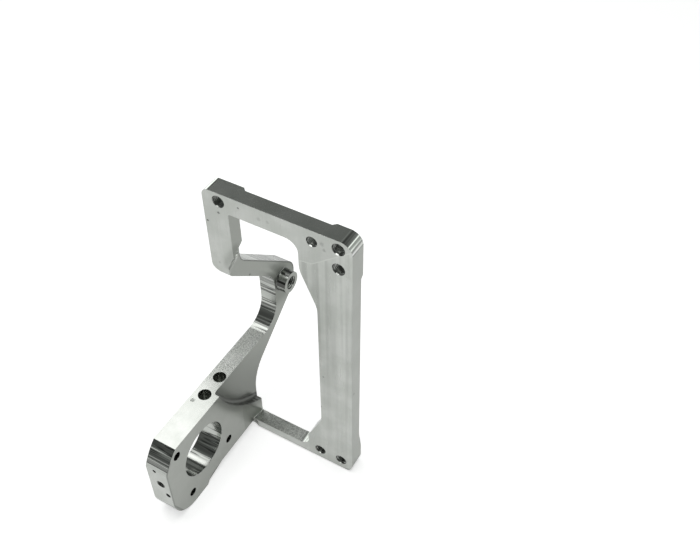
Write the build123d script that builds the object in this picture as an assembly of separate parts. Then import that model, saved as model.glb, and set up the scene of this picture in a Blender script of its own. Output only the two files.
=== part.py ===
from build123d import *

import math
import os

# A one-piece corner bracket machined from a solid block of aluminium.
# An upright front frame carries a side plate along its left edge: a bored arm at the
# foot, a web that rises behind the frame to a bossed head, and a slanting brace from
# the head to the frame's left bar.
# Sizes are in millimetres. X runs along the frame, Y towards the back, Z up.
# It is drawn with X = 0 on the outer side face, Y = 0 on the frame's front face and
# Z = 0 on the foot, and then moved so that its origin is under the middle of its box.

# Front frame
FRAME_WIDTH = 100.0
FRAME_HEIGHT = 222.0
FRAME_THICKNESS = 12.0
TOP_BAR_DEPTH = 13.2
LEFT_BAR_WIDTH = 17.5
LEFT_BAR_LENGTH = 65.0
FOOT_BAR_HEIGHT = 8.4
RIGHT_BAR_WIDTH = 24.0
CORNER_WIDTH = 35.4
CORNER_DEPTH = 34.7
CORNER_TAPER_LENGTH = 26.7
GUSSET_TOP = 47.0
GUSSET_FOOT = 22.0

# Corner and window radii of the front frame
TOP_LEFT_RADIUS = 5.0
TOP_RIGHT_RADIUS = 8.0
FOOT_RIGHT_RADIUS = 7.0
LEFT_BAR_FOOT_RADIUS = 5.0
FOOT_EDGE_BREAK = 1.0
WINDOW_TIGHT_RADIUS = 1.6
WINDOW_RADIUS = 8.5
TAPER_BEND_RADIUS = 20.0
GUSSET_BEND_RADIUS = 3.0
FOOT_WINDOW_RADIUS = 8.0

# Raised pads on the back of the front frame
PAD_HEIGHT = 2.1
LEFT_PAD_WIDTH = 22.0
LEFT_PAD_DEPTH = 22.0
RIGHT_PAD_WIDTH = 16.5
RIGHT_PAD_DEPTH = 31.0
PAD_STEP_ANGLE = 45.0
FOOT_PAD_EXTRA = 0.9
FOOT_PAD_WIDTH = 35.4
FOOT_PAD_DEPTH = 19.0
FOOT_PAD_RAMP = 17.0
FOOT_PAD_BEND_RADIUS = 30.0

# Bolt holes through the front frame
BOLT_HOLE_DIAMETER = 8.5
TOP_HOLE_DROP = 6.2
LEFT_HOLE_INSET = 11.4
RIGHT_HOLE_INSET = 9.0
RIGHT_HOLE_PITCH = 15.1
INNER_HOLE_DIAMETER = 7.3
INNER_HOLE_INSET = 26.0
INNER_HOLE_DROP = 8.2
FOOT_HOLE_HEIGHT = 10.1
FOOT_HOLE_INSET = 8.8
FOOT_HOLE_PITCH = 17.0

# Side plate: web, head and slanting brace
WEB_THICKNESS = 12.6
WEB_FRONT = 45.4
WEB_WIDTH = 23.9
WEB_FRONT_FOOT_RADIUS = 17.1
WEB_FRONT_TOP_RADIUS = 22.0
WEB_BACK_FOOT_RADIUS = 31.0
WEB_BACK_RADIUS = 6.0
WEB_BACK_FOOT = 44.0
HEAD_TOP = 109.0
HEAD_DEPTH = 19.2
HEAD_RADIUS = 13.0
BRACE_WIDTH = 11.0
BRACE_RISE_IN_BAR = 13.3
BRACE_BACK_RADIUS = 12.0
BRACE_NOSE_BEVEL = 1.6
BRACE_ROUND_LENGTH = 36.0
BRACE_HEEL_LENGTH = 15.0

# Slope from the left bar's inner face down to the brace's side face
BAR_SLOPE_TOP = 48.5
BAR_SLOPE_LENGTH = 8.0
BAR_SLOPE_TILT = 33.5
BAR_SLOPE_RADIUS = 24.0

# Bored arm
ARM_LENGTH = 91.9
ARM_HEIGHT = 72.2
ARM_THICKNESS = 17.0
ARM_FOOT_RADIUS = 21.0
ARM_NOSE_RADIUS = 40.0
BORE_DIAMETER = 40.0
BORE_INSET = 36.6
BORE_HEIGHT = 40.6

# Undercut along the lower inner edge of the arm
UNDERCUT_HEIGHT = 6.7
UNDERCUT_LENGTH = 53.0
UNDERCUT_RAMP = 5.5
UNDERCUT_DEPTH_AT_START = 1.0
UNDERCUT_DEPTH_AT_FRAME = 7.0
UNDERCUT_RADIUS = 8.0
UNDERCUT_BITE = 1.8
UNDERCUT_END_RADIUS = 7.9
UNDERCUT_END_INSET = 1.7

# Junction of arm, web and foot bar
JUNCTION_THICKNESS = 18.2
JUNCTION_FOOT_RADIUS = 1.2
RUNOUT_RADIUS = 30.0
RUNOUT_TOP = (-36.0, 71.0)
RUNOUT_FOOT = (-2.0, 9.0)
POCKET_RADIUS = 90.0
POCKET_CENTRE = (52.9, 101.4)
POCKET_FLOOR_RADIUS = 2.2
FOOT_BAR_CORNER_RADIUS = 4.5

# Holes in the arm: cover screws as (Y, Z) offsets from the bore's centre
COVER_HOLE_DIAMETER = 6.2
COVER_HOLE_OFFSETS = ((-24.4, 23.7), (25.3, -20.4), (-18.1, -28.6))
TOP_HOLE_DIAMETER = 9.0
TOP_HOLE_DEPTH = 14.0
TOP_HOLE_X = 7.6
TOP_HOLE_NEAR = 18.8
TOP_HOLE_PITCH = 16.9
END_HOLE_DIAMETER = 6.4
END_HOLE_DEPTH = 12.0
END_HOLE_X = 9.4
END_HOLE_HEIGHT = 42.0
SIDE_PIN_DIAMETER = 3.8
SIDE_PIN_X = 13.6
SIDE_PIN_HEIGHT = 31.6
UPPER_PIN_DIAMETER = 2.7
UPPER_PIN_X = 6.6
UPPER_PIN_HEIGHT = 55.3
PIN_DEPTH = 8.0

# Boss on the head, placed from the web's back and the head's top
BOSS_DIAMETER = 16.2
BOSS_HEIGHT = 7.4
BOSS_ROOT_RADIUS = 1.0
BOSS_HOLE_DIAMETER = 10.0
BOSS_INSET = 14.7
BOSS_DROP = 4.4

# How far cutters run past the faces they cut, and how near an edge lies to be picked
OVERRUN = 30.0
NEAR = 0.01

# Places worked out from the sizes above
RELIEF_BACK = FRAME_THICKNESS - PAD_HEIGHT
LEFT_BAR_FOOT = FRAME_HEIGHT - LEFT_BAR_LENGTH
WEB_BACK = WEB_FRONT + WEB_WIDTH
BRACE_SLOPE = (LEFT_BAR_FOOT + BRACE_RISE_IN_BAR - HEAD_TOP) / WEB_BACK
BORE_Y = BORE_INSET - ARM_LENGTH
BOSS_PLACE = (WEB_BACK - BOSS_INSET, HEAD_TOP - BOSS_DROP)


def rounded_face(corners):
    """A face through (u, v, radius) corners, each rounded by its own radius."""
    points = [(u, v) for u, v, radius in corners]
    radii = [radius for u, v, radius in corners]
    return make_face(FilletPolyline(*points, radius=radii, close=True).edges())


def along_x(face, start, end):
    """Extrude a face drawn as (Y, Z) between two X positions."""
    return extrude(Plane.YZ.offset(start) * face, amount=end - start)


def along_y(face, start, end):
    """Extrude a face drawn as (X, Z) between two Y positions."""
    return extrude(Plane.XZ.offset(-start) * face, amount=start - end)


def drill_x(y, z, diameter, start, end):
    """A drill for a hole along X."""
    return along_x(Pos(y, z) * Circle(diameter / 2), start, end)


def drill_y(x, z, diameter, start, end):
    """A drill for a hole along Y."""
    return along_y(Pos(x, z) * Circle(diameter / 2), start, end)


def brace_top(y):
    """Height of the brace's upper face."""
    return HEAD_TOP + BRACE_SLOPE * (WEB_BACK - y)


def brace_underside(y):
    """Height of the brace's lower face."""
    return brace_top(y) - BRACE_WIDTH * math.hypot(1, BRACE_SLOPE)


def frame_outline():
    """The front frame seen from the front, open on the left above the arm."""
    window_top = FRAME_HEIGHT - TOP_BAR_DEPTH
    corner_x = FRAME_WIDTH - CORNER_WIDTH
    corner_foot = FRAME_HEIGHT - CORNER_DEPTH
    right_bar_x = FRAME_WIDTH - RIGHT_BAR_WIDTH
    inside_arm = WEB_THICKNESS / 2
    return rounded_face([
        (0, FRAME_HEIGHT, TOP_LEFT_RADIUS),
        (FRAME_WIDTH, FRAME_HEIGHT, TOP_RIGHT_RADIUS),
        (FRAME_WIDTH, 0, FOOT_RIGHT_RADIUS),
        (inside_arm, 0, 0),
        (inside_arm, FOOT_BAR_HEIGHT, 0),
        (corner_x, FOOT_BAR_HEIGHT, FOOT_WINDOW_RADIUS),
        (corner_x, GUSSET_FOOT, GUSSET_BEND_RADIUS),
        (right_bar_x, GUSSET_TOP, GUSSET_BEND_RADIUS),
        (right_bar_x, corner_foot - CORNER_TAPER_LENGTH, TAPER_BEND_RADIUS),
        (corner_x, corner_foot, TAPER_BEND_RADIUS),
        (corner_x, window_top, WINDOW_RADIUS),
        (LEFT_BAR_WIDTH, window_top, WINDOW_TIGHT_RADIUS),
        (LEFT_BAR_WIDTH, LEFT_BAR_FOOT, 0),
        (0, LEFT_BAR_FOOT, LEFT_BAR_FOOT_RADIUS),
    ])


def corner_pad(left, right, low, high):
    """A raised pad with sloping steps, for cutting to the frame's outline."""
    step = PAD_HEIGHT * math.tan(math.radians(PAD_STEP_ANGLE))
    size = Rectangle(right - left + 2 * step, high - low + 2 * step)
    face = Plane.XZ.offset(-RELIEF_BACK) * (Pos((left + right) / 2, (low + high) / 2) * size)
    return extrude(face, amount=-PAD_HEIGHT, taper=PAD_STEP_ANGLE)


def foot_pad():
    """The thicker pad behind the foot holes, which fades into the right bar."""
    back = FRAME_THICKNESS + FOOT_PAD_EXTRA
    profile = rounded_face([
        (RELIEF_BACK, -OVERRUN, 0),
        (back, -OVERRUN, 0),
        (back, FOOT_PAD_DEPTH, FOOT_PAD_BEND_RADIUS),
        (RELIEF_BACK, FOOT_PAD_DEPTH + FOOT_PAD_RAMP, 0),
    ])
    return along_x(profile, FRAME_WIDTH - FOOT_PAD_WIDTH, FRAME_WIDTH + OVERRUN)


def front_frame():
    """The front frame with the pads on its back."""
    outline = frame_outline()
    top = FRAME_HEIGHT + OVERRUN
    right = FRAME_WIDTH + OVERRUN
    pads = corner_pad(-OVERRUN, LEFT_PAD_WIDTH, FRAME_HEIGHT - LEFT_PAD_DEPTH, top)
    pads += corner_pad(FRAME_WIDTH - RIGHT_PAD_WIDTH, right, FRAME_HEIGHT - RIGHT_PAD_DEPTH, top)
    pads += foot_pad()
    pads &= along_y(outline, RELIEF_BACK, FRAME_THICKNESS + OVERRUN)
    return along_y(outline, 0, RELIEF_BACK) + pads


def foot_edge():
    """The break along the foot bar's lower front edge."""
    leg = 2 * FOOT_EDGE_BREAK
    low = -FOOT_EDGE_BREAK
    corner = Polygon((-leg, low), (leg, low), (-leg, leg - low), align=None)
    return along_x(corner, ARM_THICKNESS, FRAME_WIDTH + OVERRUN)


def frame_holes():
    """The bolt holes through the front frame."""
    top = FRAME_HEIGHT - TOP_HOLE_DROP
    right = FRAME_WIDTH - RIGHT_HOLE_INSET
    foot = FRAME_WIDTH - FOOT_HOLE_INSET
    holes = [
        (LEFT_HOLE_INSET, top, BOLT_HOLE_DIAMETER),
        (right, top, BOLT_HOLE_DIAMETER),
        (right, top - RIGHT_HOLE_PITCH, BOLT_HOLE_DIAMETER),
        (FRAME_WIDTH - INNER_HOLE_INSET, FRAME_HEIGHT - INNER_HOLE_DROP, INNER_HOLE_DIAMETER),
        (foot, FOOT_HOLE_HEIGHT, BOLT_HOLE_DIAMETER),
        (foot - FOOT_HOLE_PITCH, FOOT_HOLE_HEIGHT, BOLT_HOLE_DIAMETER),
    ]
    back = FRAME_THICKNESS + OVERRUN
    return [drill_y(x, z, diameter, -OVERRUN, back) for x, z, diameter in holes]


def bar_slope():
    """Cuts the left bar's foot down in a slope to the brace's side face."""
    tilt = math.radians(BAR_SLOPE_TILT)
    depth = LEFT_BAR_WIDTH - WEB_THICKNESS
    section = rounded_face([
        (0, 0, 0),
        (-depth, BAR_SLOPE_LENGTH, BAR_SLOPE_RADIUS),
        (-depth, LEFT_BAR_LENGTH, 0),
        (OVERRUN, LEFT_BAR_LENGTH, 0),
        (OVERRUN, 0, 0),
    ])
    start = Plane(
        origin=(LEFT_BAR_WIDTH, 0, FRAME_HEIGHT - BAR_SLOPE_TOP),
        x_dir=(1, 0, 0),
        z_dir=(0, math.cos(tilt), math.sin(tilt)),
    )
    return extrude(start * section, amount=FRAME_THICKNESS + OVERRUN, both=True)


def arm_nose():
    """Three points on the arm's upper end, an arc around the bore."""
    first = math.asin((ARM_HEIGHT - BORE_HEIGHT) / ARM_NOSE_RADIUS)
    last = math.acos(BORE_INSET / ARM_NOSE_RADIUS)
    return [
        (BORE_Y - ARM_NOSE_RADIUS * math.cos(angle), BORE_HEIGHT + ARM_NOSE_RADIUS * math.sin(angle))
        for angle in (first, (first + last) / 2, last)
    ]


def side_plate():
    """The side plate at web thickness: arm, web, head and brace."""
    nose = arm_nose()
    heel = LEFT_BAR_FOOT + BRACE_HEEL_LENGTH
    outline = FilletPolyline(
        nose[2],
        (-ARM_LENGTH, 0),
        (FRAME_THICKNESS, 0),
        (FRAME_THICKNESS, WEB_BACK_FOOT),
        (WEB_BACK, HEAD_TOP - HEAD_DEPTH),
        (WEB_BACK, HEAD_TOP),
        (FRAME_THICKNESS, brace_top(FRAME_THICKNESS)),
        (FRAME_THICKNESS, heel),
        (RELIEF_BACK, heel + PAD_HEIGHT),
        (0, heel + PAD_HEIGHT),
        (0, LEFT_BAR_FOOT),
        (BRACE_NOSE_BEVEL, brace_underside(BRACE_NOSE_BEVEL)),
        (WEB_FRONT, brace_underside(WEB_FRONT)),
        (WEB_FRONT, ARM_HEIGHT),
        nose[0],
        radius=[
            ARM_FOOT_RADIUS, 0, WEB_BACK_FOOT_RADIUS, WEB_BACK_RADIUS, HEAD_RADIUS, BRACE_BACK_RADIUS,
            0, 0, 0, 0, 0, WEB_FRONT_TOP_RADIUS, WEB_FRONT_FOOT_RADIUS,
        ],
    )
    return along_x(make_face(outline.edges() + ThreePointArc(*nose).edges()), 0, WEB_THICKNESS)


def arm_block():
    """The thick arm before it is cut, back to the frame's relieved rear face."""
    nose = arm_nose()
    outline = FilletPolyline(
        nose[2], (-ARM_LENGTH, 0), (RELIEF_BACK, 0), (RELIEF_BACK, ARM_HEIGHT), nose[0],
        radius=[ARM_FOOT_RADIUS, 0, 0],
    )
    return along_x(make_face(outline.edges() + ThreePointArc(*nose).edges()), 0, JUNCTION_THICKNESS)


def arm_runout():
    """Faces the arm to its thickness, with a round sweep up to the junction."""
    run = (0, RUNOUT_FOOT[0] - RUNOUT_TOP[0], RUNOUT_FOOT[1] - RUNOUT_TOP[1])
    path = Plane(origin=(ARM_THICKNESS, *RUNOUT_FOOT), x_dir=(1, 0, 0), z_dir=run)
    faced = Rectangle(2 * RUNOUT_RADIUS, 2 * ARM_LENGTH, align=(Align.MIN, Align.MIN))
    section = faced + Pos(RUNOUT_RADIUS, 0) * Circle(RUNOUT_RADIUS)
    return extrude(path * section, amount=2 * ARM_LENGTH, both=True)


def side_pocket():
    """The broad round pocket that thins the arm to the web's thickness."""
    place = Plane.YZ.offset(WEB_THICKNESS) * Pos(*POCKET_CENTRE)
    pocket = extrude(place * Circle(POCKET_RADIUS), amount=OVERRUN)
    floor_edge = pocket.edges().filter_by(GeomType.CIRCLE).sort_by(Axis.X)[0]
    return fillet(floor_edge, POCKET_FLOOR_RADIUS)


def undercut():
    """The step cut along the arm's lower inner edge, with a round end in the foot bar."""
    start = -UNDERCUT_LENGTH - UNDERCUT_RAMP
    outside = JUNCTION_THICKNESS + OVERRUN
    end = ARM_THICKNESS - UNDERCUT_END_INSET
    plan = rounded_face([
        (ARM_THICKNESS - UNDERCUT_DEPTH_AT_START, start, 0),
        (ARM_THICKNESS - UNDERCUT_DEPTH_AT_FRAME, UNDERCUT_BITE, FOOT_BAR_CORNER_RADIUS),
        (end, UNDERCUT_BITE, 0),
        (end, 0, 0),
        (outside, 0, 0),
        (outside, start, 0),
    ])
    quarter = Rectangle(UNDERCUT_END_RADIUS, UNDERCUT_END_RADIUS, align=Align.MIN)
    plan += Pos(end, UNDERCUT_BITE - UNDERCUT_END_RADIUS) * (quarter & Circle(UNDERCUT_END_RADIUS))
    profile = rounded_face([
        (start, 0, 0),
        (-UNDERCUT_LENGTH, UNDERCUT_HEIGHT, UNDERCUT_RADIUS),
        (OVERRUN, UNDERCUT_HEIGHT, 0),
        (OVERRUN, -OVERRUN, 0),
        (start, -OVERRUN, 0),
    ])
    return extrude(plan, amount=OVERRUN, both=True) & along_x(profile, 0, outside)


def arm_holes():
    """The bore and the small holes of the arm."""
    through = JUNCTION_THICKNESS + OVERRUN
    end = -ARM_LENGTH
    holes = [drill_x(BORE_Y, BORE_HEIGHT, BORE_DIAMETER, -OVERRUN, through)]
    for reach, rise in COVER_HOLE_OFFSETS:
        holes.append(drill_x(BORE_Y + reach, BORE_HEIGHT + rise, COVER_HOLE_DIAMETER, -OVERRUN, through))
    for reach in (TOP_HOLE_NEAR, TOP_HOLE_NEAR + TOP_HOLE_PITCH):
        mouth = Plane.XY.offset(ARM_HEIGHT) * Pos(TOP_HOLE_X, -reach)
        holes.append(extrude(mouth * Circle(TOP_HOLE_DIAMETER / 2), amount=-TOP_HOLE_DEPTH))
    holes.append(drill_y(END_HOLE_X, END_HOLE_HEIGHT, END_HOLE_DIAMETER, end, end + END_HOLE_DEPTH))
    holes.append(drill_y(SIDE_PIN_X, SIDE_PIN_HEIGHT, SIDE_PIN_DIAMETER, end, end + PIN_DEPTH))
    holes.append(drill_y(UPPER_PIN_X, UPPER_PIN_HEIGHT, UPPER_PIN_DIAMETER, end, end + PIN_DEPTH))
    return holes


def concave_corner(radius):
    """The filled corner of a concave round, in the quarter right of and below its origin."""
    square = Rectangle(radius, radius, align=(Align.MIN, Align.MAX))
    return square - Pos(radius, -radius) * Circle(radius)


def round_junction_foot(body):
    """Rounds the line where the junction stands on the foot bar."""
    level = body.edges().filter_by_position(Axis.Z, FOOT_BAR_HEIGHT - NEAR, FOOT_BAR_HEIGHT + NEAR)
    line = level.filter_by_position(Axis.X, WEB_THICKNESS, JUNCTION_THICKNESS + NEAR)
    return fillet(line.filter_by_position(Axis.Y, -NEAR, RELIEF_BACK + NEAR), JUNCTION_FOOT_RADIUS)


def bar_foot_round():
    """Rounds the left bar's outer foot corner and fades out along the brace's lower edge."""
    size = 2 * LEFT_BAR_FOOT_RADIUS
    square = Pos(-LEFT_BAR_FOOT_RADIUS, -LEFT_BAR_FOOT_RADIUS) * Rectangle(size, size, align=Align.MIN)
    corner = square - Pos(LEFT_BAR_FOOT_RADIUS, LEFT_BAR_FOOT_RADIUS) * Circle(LEFT_BAR_FOOT_RADIUS)
    drop = LEFT_BAR_FOOT - brace_underside(BRACE_NOSE_BEVEL)
    nose = Plane.XZ.offset(BRACE_NOSE_BEVEL) * Pos(0, LEFT_BAR_FOOT + drop) * corner
    behind = Plane.XZ.offset(-BRACE_NOSE_BEVEL) * Pos(0, LEFT_BAR_FOOT - drop) * corner
    down = Vector(0, BRACE_NOSE_BEVEL, -drop)
    along = Vector(-LEFT_BAR_FOOT_RADIUS, BRACE_ROUND_LENGTH, -BRACE_SLOPE * BRACE_ROUND_LENGTH)
    return [
        extrude(nose, amount=2 * down.length, dir=down),
        extrude(behind, amount=along.length, dir=along),
    ]


def boss():
    """The boss on the head, with a round at its root."""
    radius = BOSS_DIAMETER / 2
    corner = Pos(radius, 0) * mirror(concave_corner(BOSS_ROOT_RADIUS), Plane.XZ)
    root = Plane.YZ.offset(WEB_THICKNESS) * Pos(*BOSS_PLACE) * revolve(Plane.XZ * corner, Axis.Z)
    return root + drill_x(*BOSS_PLACE, BOSS_DIAMETER, WEB_THICKNESS / 2, WEB_THICKNESS + BOSS_HEIGHT)


def bracket():
    """The whole bracket as one solid."""
    body = front_frame() - bar_slope()
    body += side_plate()
    body -= bar_foot_round()
    body += arm_block() - side_pocket() - arm_runout()
    body -= undercut()
    body = round_junction_foot(body)
    body += boss()
    body -= foot_edge()
    body -= frame_holes() + arm_holes()
    body -= drill_x(*BOSS_PLACE, BOSS_HOLE_DIAMETER, -OVERRUN, WEB_THICKNESS + BOSS_HEIGHT + OVERRUN)
    return Pos(-FRAME_WIDTH / 2, (ARM_LENGTH - WEB_BACK) / 2, 0) * body.solid()


os.makedirs("parts", exist_ok=True)
export_step(bracket(), "parts/bracket.step")
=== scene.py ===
"""Looks of a one-piece milled aluminium corner bracket, dressed around its CAD solid.

Everything is in metres, in the solid's own frame: X along the frame's width, Y towards
the bossed head, Z up, with the origin under the middle of the part.
"""

import math

import bmesh
import bpy
from bpy.props import FloatProperty, FloatVectorProperty, PointerProperty
from mathutils import Matrix, Vector


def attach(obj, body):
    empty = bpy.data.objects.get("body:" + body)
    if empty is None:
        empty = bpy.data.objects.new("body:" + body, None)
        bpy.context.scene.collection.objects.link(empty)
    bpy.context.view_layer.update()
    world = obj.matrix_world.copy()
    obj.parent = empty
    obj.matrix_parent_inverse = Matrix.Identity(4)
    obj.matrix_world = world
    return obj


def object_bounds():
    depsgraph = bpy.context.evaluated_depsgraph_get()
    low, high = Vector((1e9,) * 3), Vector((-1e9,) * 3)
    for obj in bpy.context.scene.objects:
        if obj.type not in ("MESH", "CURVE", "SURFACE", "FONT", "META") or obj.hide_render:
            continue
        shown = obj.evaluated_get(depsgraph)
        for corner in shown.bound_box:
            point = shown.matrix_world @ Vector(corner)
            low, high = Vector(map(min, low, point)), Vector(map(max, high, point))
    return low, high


bl_info = {
    "name": "Milled corner bracket",
    "version": (1, 0, 0),
    "blender": (4, 5, 0),
    "location": "View3D > Sidebar > Bracket",
    "description": "Dresses a milled aluminium corner bracket and sets a plain studio round it",
    "category": "Object",
}

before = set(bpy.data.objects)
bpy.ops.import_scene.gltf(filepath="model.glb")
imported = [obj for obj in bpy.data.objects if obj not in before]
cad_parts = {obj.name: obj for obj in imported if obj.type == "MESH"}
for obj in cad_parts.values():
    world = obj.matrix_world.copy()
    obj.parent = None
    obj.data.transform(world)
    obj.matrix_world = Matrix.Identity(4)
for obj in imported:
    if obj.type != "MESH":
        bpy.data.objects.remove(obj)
CAD_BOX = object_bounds()

MM = 0.001
TINY = 0.3 * MM
EDGE_SAMPLES = 6
NODE = "bracket"
BODY = "root"

# How far a normal may lean for a flat to count as facing an axis, and for a round to count
# as running along one, and from what lean a face is turned to the side
FLAT_SPREAD = 0.01
ROUND_SPREAD = 0.1
SIDE_SPREAD = (0.15, 0.5)

# The uneven patches on the flats, and the sandy grain on the arm's upper face
PATCH_LEVELS = (0.35, 0.68)
PATCH_NOISE = (3.0, 0.55)
GRAIN_NOISE = (2.0, 0.6)
PATCH_SIZE = 16 * MM
GRAIN_SIZE = 0.8 * MM
ARM_TOP = 72.2 * MM
SANDY_FROM = -32 * MM
SANDY_FULL = 20 * MM
SANDY_ROUGHNESS = 0.14

# The shallow V on the wide bar's front where two milling passes meet, and the heights
# between which the lower pass fades out downwards
PASS_CORNER = (23.8 * MM, 196.7 * MM)
PASS_SLOPES = (0.18, 0.81)
PASS_START = 14.0 * MM
PASS_STEP = 0.5 * MM
PASS_EDGE = 0.8 * MM
PASS_FADE = (40 * MM, 170 * MM)
PASS_LEAST = 0.4

# Faces turned to the side get painted shade: the arm's and the wide bar's get less of it, so they
# are paler than the rest
ARM_SIDE = -36 * MM
BAR_SIDE = 40 * MM
ARM_PALER = 0.30
BAR_PALER = 0.35

# The web's front edge, and the round pocket: its centre, the edge and the depth of its wall,
# and the reaches between which painted shade darkens its floor and then stops
WEB_FRONT = 40 * MM
POCKET_CENTRE = (64.2 * MM, 101.4 * MM)
POCKET_EDGE = 88.9 * MM
POCKET_WALL = (2.4 * MM, 0.7 * MM)
POCKET_DEPTH = (-37.5 * MM, -31.7 * MM)
RIM_RISE = (35 * MM, 89.5 * MM)
RIM_FALL = (98 * MM, 90.5 * MM)

# The swept run-out beside the pocket: its foot and top, and its reach across
RUN_OUT_HEIGHT = (9 * MM, 45 * MM)
RUN_OUT_X = (-33.2 * MM, -28 * MM)

# The boss: centre, reach of its side, the face that it stands on, the satin ring there, and
# the streaks between which painted shade darkens its side
BOSS_CENTRE = (65.9 * MM, 104.6 * MM)
BOSS_REACH = 9.6 * MM
BOSS_START = -37.39 * MM
BOSS_RING = (26 * MM, 14 * MM)
BOSS_STREAKS = (0.45, 0.3)

# The arm's two upper holes, as lines down their middles, their reach, and how strongly painted
# shade darkens their insides
UPPER_HOLES = (
    ((-0.0424, -0.0244, 0.0560), (-0.0424, -0.0244, 0.0722)),
    ((-0.0424, -0.0075, 0.0560), (-0.0424, -0.0075, 0.0722)),
)
UPPER_HOLE_REACH = 12 * MM
UPPER_HOLE_DARKNESS = 0.6

# Chatter ridges across the arm's nose, with their width, and their height in millimetres
NOSE_RIDGES = (
    ((-0.0500, -0.0722, 0.0693), (-0.0330, -0.0722, 0.0693)),
    ((-0.0500, -0.0758, 0.0650), (-0.0330, -0.0758, 0.0650)),
)
RIDGE_WIDTH = 1.5 * MM
RIDGE_HEIGHT = 0.20

# Cutter strokes: how rough their noise is, and how far from its middle a thin line fades;
# then each look's frequency along X, Y and Z, detail and softness
STROKE_NOISE = 0.6
THIN_LINE = (0.03, 0.008)
UPRIGHT_STROKES = ((900.0, 900.0, 25.0), 3.0, 0.4)
LEVEL_STROKES = ((900.0, 200.0, 200.0), 3.0, 0.5)
LENGTHWISE_STREAKS = ((9.0, 260.0, 260.0), 2.0, 0.10)
CORNER_STREAKS = ((300.0, 9.0, 300.0), 1.5, 0.12)
UPRIGHT_STREAKS = ((220.0, 220.0, 9.0), 1.5, 0.16)
PASS_STROKES = ((330.0, 330.0, 7.0), 1.5, 0.2)
SIDE_SHARE = 0.5
LEVEL_SHARE = 0.3

# How much each kind of mark lightens the metal, or darkens it where below nothing
PASS_SHADE = 0.20
PASS_EDGE_SHADE = 0.16
SANDY_SHADE = 1.9
FINE_SHADE = 0.08
BAND_SHADE = 0.50
STREAK_SHADE = 0.25
CORNER_SHADE = 0.9
LINE_SHADE = -0.70

# How much marks roughen the metal, and how deep pits are in millimetres
STROKE_ROUGHNESS = 0.10
SATIN_ROUGHNESS = 0.3
PIT_DEPTH = 0.15

# Dark lines through several places, each with its width and strength: along the brace's upper
# edge, down the arm's end, along the foot, and where the left bar's slope meets the brace. The
# last is painted shade over a reflection
DARK_LINES = (
    (((-0.0374, 0.0233, 0.1651), (-0.0374, 0.0243, 0.1602), (-0.0374, 0.02735, 0.1561),
      (-0.0374, 0.0762, 0.1129), (-0.0374, 0.0794, 0.1086), (-0.0374, 0.0806, 0.1031)),
     1.1 * MM, 0.9),
    (((-0.033, -0.0755, 0.0652), (-0.033, -0.0806, 0.0567), (-0.033, -0.0806, 0.0210),
      (-0.033, -0.0745, 0.0062)), 0.9 * MM, 0.6),
    (((-0.0290, 0.0113, 0.0009), (0.0430, 0.0113, 0.0009), (0.0480, 0.0113, 0.0030)),
     0.7 * MM, 0.45),
    # Painted shade: darkens a reflection where the left bar's slope meets the brace
    (((-0.0360, 0.0113, 0.1620), (-0.0342, 0.0142, 0.1680), (-0.0347, 0.0178, 0.1702)),
     2.2 * MM, 0.6),
)

# The satin strip down the left bar's slope, and its width
DULL_STRIP = ((-0.0350, 0.0113, 0.1660), (-0.0290, 0.0125, 0.1775))
DULL_WIDTH = 9 * MM

# Spots and lines: how fine and how strong a spot's uneven outline is, and the share of the
# reach at which each is full
OUTLINE_FREQUENCY = 1600.0
OUTLINE_STRENGTH = 1.6
SPOT_FULL = 0.45
LINE_FULL = 0.4

# Pits and nicks: centre, radius and strength. The wide spot at the undercut's foot is painted shade
PITS_AND_SHADE = (
    ((-0.0393, 0.0113, 0.2073), 1.1 * MM, 0.8),
    ((-0.0483, 0.0113, 0.1975), 0.8 * MM, 1.0),
    ((-0.0247, 0.0113, 0.2170), 0.8 * MM, 0.8),
    ((0.0287, 0.0113, 0.0969), 0.7 * MM, 1.0),
    ((0.0262, 0.0113, 0.0635), 0.6 * MM, 0.9),
    ((-0.0466, -0.0319, 0.0722), 1.7 * MM, 0.45),
    ((-0.0374, 0.0309, 0.1398), 1.0 * MM, 0.9),
    # Painted shade: the dark recess under the foot bar's lip where the undercut meets the arm
    ((-0.0322, 0.0105, 0.0050), 3.6 * MM, 1.0),
    ((0.0305, 0.0113, 0.2150), 1.8 * MM, 0.25),
    ((0.0320, 0.0113, 0.2110), 1.4 * MM, 0.30),
    ((-0.0110, 0.0113, 0.2148), 1.8 * MM, 0.20),
    ((-0.0050, 0.0113, 0.2153), 1.3 * MM, 0.20),
    ((0.0500, 0.0135, 0.0902), 1.0 * MM, 0.5),
    ((-0.0438, 0.0113, 0.1647), 1.2 * MM, 0.25),
)

# A thread's profile as (share of the pitch, share of the depth), and its make-up
THREAD_PROFILE = ((0.0, 0.0), (0.12, 0.0), (0.45, 1.0), (0.62, 1.0), (1.0, 0.0))
THREAD_DEPTH = 0.42
THREAD_STEPS = 28
THREAD_GAP = 0.02 * MM
WELD_GAP = 0.001 * MM

# The metal in tapped holes: patches and grain, and what the grain does to shade,
# roughness and height in millimetres
THREAD_PATCH_SIZE = 3 * MM
THREAD_GRAIN_SIZE = 0.3 * MM
THREAD_SHADE = 0.6
THREAD_UNEVENNESS = 0.3
THREAD_CHATTER = 0.01

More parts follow.
